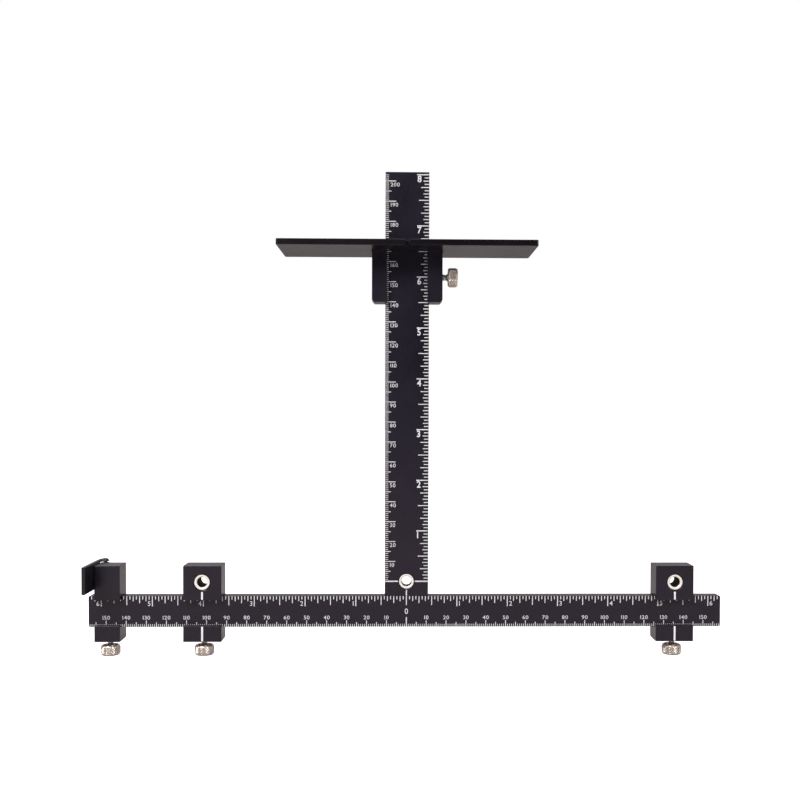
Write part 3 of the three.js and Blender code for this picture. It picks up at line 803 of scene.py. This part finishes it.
# -------------------------------------------------------------------------------- fence
FW, WIN = (FB[1] - FB[0]) / 2, 10.1
SLOT = HALF_W + SLIDE + 0.05
P0, P1 = FP[4], FP[5]
plan = [(-FW, FRONT), (-WIN, FRONT), (-WIN, -SLIDE), (-SLOT, -SLIDE), (-SLOT, T + SLIDE), (SLOT, T + SLIDE), (SLOT, -SLIDE), (WIN, -SLIDE),
        (WIN, FRONT), (FW, FRONT), (FW, BACK), (-FW, BACK)]
c = 1.2
cut = [lathe([(0, HALF_W - 1), (1.85, HALF_W - 1), (1.85, FW - 0.6), (3.45, FW + 1), (0, FW + 1)], "x", (0, SCREW_Y, FTZ), 64)]
for sx in (-1, 1):
    tri = [(FB[4] - 1, sx * (FW - c - 1)), (FB[4] + c + 1, sx * (FW + 1)), (FB[4] - 1, sx * (FW + 1))]
    cut.append(prism(tri if sx > 0 else tri[::-1], "y", FRONT - 1, BACK + 1))
    cut.append(rod(CS_SHANK + 0.06, -9.2, 1, "z", (sx * FENCE_X, SCREW_Y, P1 - 0.1), 48))
blk = prism(plan, "z", FB[4], FB[5])
solidify(blk, cut, bevel=0.20)
place(blk, "fence_block_machined", "fence", M_BLOCK, "black_anodised", "fence_block")

plate = prism(rounded(FP[0], FP[1], FP[2], FP[3], 1.2, 8), "z", P0, P1)
cut = [box(-SLOT, SLOT, -SLIDE, T + SLIDE, P0 - 1, P1 + 1), box(-1.05, 1.05, FP[2] - 1, FP[2] + 3.0, P0 - 1, P1 + 1),
       box(-FW - 0.15, FW + 0.15, FRONT - 0.15, BACK + 0.15, P0 - 1, P0 + 0.5)]
cut += [cs_cutter("z", (sx * FENCE_X, SCREW_Y, P1 - 0.1), 8.6) for sx in (-1, 1)]
solidify(plate, cut, bevel=0.30)
place(plate, "fence_plate_machined", "fence", M_FENCE, "black_anodised", "fence_plate")
for side, sx in (("left", -1), ("right", 1)):
    place(cs_screw(8.6, "z", (sx * FENCE_X, SCREW_Y, P1 - 0.1)), "fence_screw_" + side + "_socket", "fence", M_OXIDE, "black_oxide", "fence_screw_" + side)

# ------------------------------------------------------------------ scales and numerals
PROUD, DEEP = 0.012, 0.05


def slab(bm, x0, x1, z0, z1):
    v = [bm.verts.new((x, y, z)) for y in (-PROUD, DEEP) for x, z in ((x0, z0), (x1, z0), (x1, z1), (x0, z1))]
    for f in ((0, 1, 2, 3), (7, 6, 5, 4), (1, 0, 4, 5), (2, 1, 5, 6), (3, 2, 6, 7), (0, 3, 7, 4)):
        bm.faces.new([v[i] for i in f])


_glyphs = {}


def glyph(ch, bold):
    """Digit outline as (verts, faces) in a unit-height box, from the built-in font."""
    key = (ch, bold)
    if key not in _glyphs:
        cu = bpy.data.curves.new("g", "FONT")
        cu.body, cu.size, cu.extrude, cu.resolution_u = ch, 1.0, 0.01, 5
        cu.offset = 0.022 if bold else 0.003
        ob = bpy.data.objects.new("g", cu)
        STORE.objects.link(ob)
        dg = bpy.context.evaluated_depsgraph_get()
        me = bpy.data.meshes.new_from_object(ob.evaluated_get(dg), depsgraph=dg)
        bm = bmesh.new()
        bm.from_mesh(me)
        bmesh.ops.remove_doubles(bm, verts=bm.verts[:], dist=1e-5)
        bm.verts.ensure_lookup_table()
        vs = [tuple(v.co) for v in bm.verts]
        fs = [[v.index for v in f.verts] for f in bm.faces]
        bm.free()
        bpy.data.objects.remove(ob, do_unlink=True)
        bpy.data.curves.remove(cu)
        bpy.data.meshes.remove(me)
        x0, x1 = min(v[0] for v in vs), max(v[0] for v in vs)
        y0, y1 = min(v[1] for v in vs), max(v[1] for v in vs)
        h = y1 - y0
        vs = [((x - x0) / h, (y - y0) / h, 1 if z > 0 else 0) for x, y, z in vs]
        _glyphs[key] = (vs, fs, (x1 - x0) / h)
    return _glyphs[key]


def write(bm, text, x, z, height, bold=False, squeeze=0.86, align="left", gap=0.14, foot=False):
    """Numerals standing on z, in the plane of the ruler face."""
    items = [glyph(ch, bold) for ch in text]
    widths = [max(w * squeeze, 0.30) * height for _, _, w in items]
    total = sum(widths) + gap * height * (len(items) - 1)
    cur = x - (0 if align == "left" else total / 2 if align == "centre" else total)
    for ch, (vs, fs, w), wd in zip(text, items, widths):
        off = (wd - w * squeeze * height) / 2
        nv = [bm.verts.new((cur + off + vx * height * squeeze, -PROUD if up_ else DEEP, z + vy * height)) for vx, vy, up_ in vs]
        for f in fs:
            try:
                bm.faces.new([nv[i] for i in f])
            except ValueError:
                pass
        if foot and ch == "1":
            slab(bm, cur + 0.02 * height, cur + wd + 0.06 * height, z - 0.005, z + 0.13 * height)
        cur += wd + gap * height


W1, W5, WI = 0.28, 0.38, 0.42
E = 0.13        # marks stop at the rounded edge of the bar
bm = bmesh.new()
for mm in range(1, 204):
    ln, w = (5.3, W5) if mm % 10 == 0 else (2.9, W5) if mm % 5 == 0 else (1.7, W1)
    slab(bm, -HALF_W + E, -HALF_W + ln, mm - w / 2, mm + w / 2)
    if mm % 10 == 0:
        write(bm, str(mm), -HALF_W + 2.5, mm - 2.70, 1.92, squeeze=1.04, gap=0.19, foot=True)
for i in range(1, 129):
    z = i * 25.4 / 16
    ln, w = (6.1, 0.52) if i % 16 == 0 else (5.2, WI) if i % 8 == 0 else (4.1, WI) if i % 4 == 0 else (2.9, WI) if i % 2 == 0 else (2.3, WI)
    slab(bm, HALF_W - ln, HALF_W - E, z - w / 2, z + w / 2)
    if i % 16 == 0:
        write(bm, str(i // 16), HALF_W - 5.85, z - 3.75, 3.35, True, squeeze=0.90)
slab(bm, -HALF_W + E, -4.25, -0.32, 0.32)
slab(bm, 4.25, HALF_W - E, -0.32, 0.32)
slab(bm, -0.30, 0.30, CROSS_TOP + GAP + E, -R_CB - 0.35)
place(obj_from_bm("tmp", bm), "upright_scale_marks", "t_frame", M_MARK, "black_anodised")

bm = bmesh.new()
for i in range(-99, 100):
    x = i * 25.4 / 16
    j = abs(i)
    ln, w = (5.2, 0.46) if j % 16 == 0 else (4.6, WI) if j % 8 == 0 else (3.6, WI) if j % 4 == 0 else (2.6, WI) if j % 2 == 0 else (1.75, WI)
    if i == 0:
        ln = 4.6
    slab(bm, x - w / 2, x + w / 2, CROSS_TOP - ln, CROSS_TOP - E)
    if j % 16 == 0 and j:
        sd = 1 if i > 0 else -1
        write(bm, str(j // 16), x + sd * 0.95, CROSS_TOP - 4.95, 2.35, False, 0.98, "left" if sd > 0 else "right")
for mm in range(-158, 159):
    j = abs(mm)
    ln, w = (4.9, 0.5) if j == 0 else (3.3, W5) if j % 10 == 0 else (2.4, W5) if j % 5 == 0 else (1.5, W1)
    slab(bm, mm - w / 2, mm + w / 2, CROSS_BOT + E, CROSS_BOT + ln)
    if j % 10 == 0 and j:
        write(bm, str(j), mm, CROSS_BOT + 3.80, 1.86, False, 1.12, "centre", gap=0.19, foot=True)
write(bm, "0", 0, CROSS_TOP - 9.1, 2.7, False, 0.95, "centre")
place(obj_from_bm("tmp", bm), "cross_scale_marks", "t_frame", M_MARK, "black_anodised")

# ------------------------------------------------------------------- floor, light, camera
W_TOP, W_BACK, W_LEFT, W_RIGHT, W_BASE = 0.30, 0.42, 0.10, 0.06, 0.02
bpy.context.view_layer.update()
fm = bmesh.new()
bmesh.ops.create_grid(fm, x_segments=2, y_segments=2, size=6.0)
fme = bpy.data.meshes.new("floor")
fm.to_mesh(fme)
fm.free()
floor = bpy.data.objects.new("floor", fme)
floor.location.z = CAD_LO.z - 0.0001
STORE.objects.link(floor)
g = Graph("floor_paper")
tone = g.noise(0.004, 2, 0.5)
g.set(g.b, Base_Color=g.ramp(tone, (0.3, (0.47, 0.435, 0.435)), (0.7, (0.50, 0.465, 0.465))), Roughness=0.85)
g.b.inputs["Specular IOR Level"].default_value = 0.1
# seen directly the paper is blown out to white, as a lit sweep is
glow = g.n("ShaderNodeEmission")
glow.inputs["Color"].default_value, glow.inputs["Strength"].default_value = (1, 1, 1, 1), 0.95
both = g.n("ShaderNodeAddShader")
path = g.n("ShaderNodeLightPath")
pick = g.n("ShaderNodeMixShader")
g.link(g.b.outputs["BSDF"], both.inputs[0])
g.link(glow.outputs[0], both.inputs[1])
g.link(path.outputs["Is Camera Ray"], pick.inputs[0])
g.link(g.b.outputs["BSDF"], pick.inputs[1])
g.link(both.outputs[0], pick.inputs[2])
g.link(pick.outputs[0], g.out.inputs["Surface"])
fme.materials.append(g.m)

world = bpy.data.worlds.new("studio")
scene.world = world
world.use_nodes = True
wt = world.node_tree
wt.nodes.clear()


def wn(kind, **props):
    x = wt.nodes.new(kind)
    for k, v in props.items():
        setattr(x, k, v)
    return x


def ease(src, a, b, amount):
    """Amount of light that comes in as a direction component runs from a to b."""
    x = wn("ShaderNodeMapRange", interpolation_type="SMOOTHSTEP")
    wt.links.new(src, x.inputs["Value"])
    for k, v in zip(("From Min", "From Max", "To Min", "To Max"), (a, b, 0.0, amount)):
        x.inputs[k].default_value = v
    return x.outputs["Result"]


# soft room: bright overhead and beyond the object, dim behind the camera
tc = wn("ShaderNodeTexCoord")
xyz = wn("ShaderNodeSeparateXYZ")
wt.links.new(tc.outputs["Generated"], xyz.inputs[0])
total = None
for src, a0, b0, amt in (("Z", 0.25, 0.95, W_TOP), ("Y", 0.10, 0.80, W_BACK), ("X", 0.15, -0.90, W_LEFT), ("X", 0.30, 1.0, W_RIGHT)):
    v = ease(xyz.outputs[src], a0, b0, amt)
    if total is None:
        total = v
        continue
    ad = wn("ShaderNodeMath", operation="ADD")
    wt.links.new(total, ad.inputs[0])
    wt.links.new(v, ad.inputs[1])
    total = ad.outputs[0]
ad = wn("ShaderNodeMath", operation="ADD")
wt.links.new(total, ad.inputs[0])
ad.inputs[1].default_value = W_BASE
wo = wn("ShaderNodeOutputWorld")
lp = wn("ShaderNodeLightPath")
b1 = wn("ShaderNodeBackground")
b1.inputs["Color"].default_value, b1.inputs["Strength"].default_value = (1, 1, 1, 1), 1.0
b2 = wn("ShaderNodeBackground")
b2.inputs["Color"].default_value = (1.0, 0.97, 0.95, 1)
wt.links.new(ad.outputs[0], b2.inputs["Strength"])
mx = wn("ShaderNodeMixShader")
wt.links.new(lp.outputs["Is Camera Ray"], mx.inputs[0])
wt.links.new(b2.outputs[0], mx.inputs[1])
wt.links.new(b1.outputs[0], mx.inputs[2])
wt.links.new(mx.outputs[0], wo.inputs["Surface"])


def area(name, loc, target, size, power, col=(1, 1, 1)):
    li = bpy.data.lights.new(name, "AREA")
    li.shape, li.size, li.size_y, li.energy, li.color = "RECTANGLE", size[0], size[1], power, col
    ob = bpy.data.objects.new(name, li)
    ob.location = loc
    ob.rotation_euler = (Vector(target) - Vector(loc)).to_track_quat("-Z", "Y").to_euler()
    ob.visible_camera = False
    STORE.objects.link(ob)
    return ob


area("key", (-0.62, -0.78, 0.95), (0, 0, 0.10), (0.55, 0.55), 19.0, (1.0, 0.985, 0.965))
area("top", (0.05, 0.25, 1.15), (0, 0, 0.10), (1.0, 0.8), 9.0)
area("fill", (0.95, -0.62, 0.55), (0, 0, 0.10), (0.5, 0.5), 4.0, (0.96, 0.98, 1.0))

cam = bpy.data.cameras.new("camera")
cam.sensor_width, cam.lens = 36.0, 45.0
cam.shift_x, cam.shift_y = -0.0287, 0.0413
cam.clip_start, cam.clip_end = 0.01, 50.0
camo = bpy.data.objects.new("camera", cam)
STORE.objects.link(camo)
yaw, pitch, roll = (math.radians(a) for a in (1.161, -1.2521, 0.1757))
fwd = Vector((math.sin(yaw) * math.cos(pitch), math.cos(yaw) * math.cos(pitch), math.sin(pitch)))
right = Vector((math.cos(yaw), -math.sin(yaw), 0))
upv = right.cross(fwd)
r2 = math.cos(roll) * right + math.sin(roll) * upv
u2 = -math.sin(roll) * right + math.cos(roll) * upv
rot = Matrix((r2, u2, -fwd)).transposed()
camo.matrix_world = Matrix.Translation((OX - 2.066 * MM, OY - 500.675 * MM, OZ + 85.457 * MM)) @ rot.to_4x4()
scene.camera = camo
scene.view_settings.view_transform = "Standard"
scene.view_settings.look = "None"
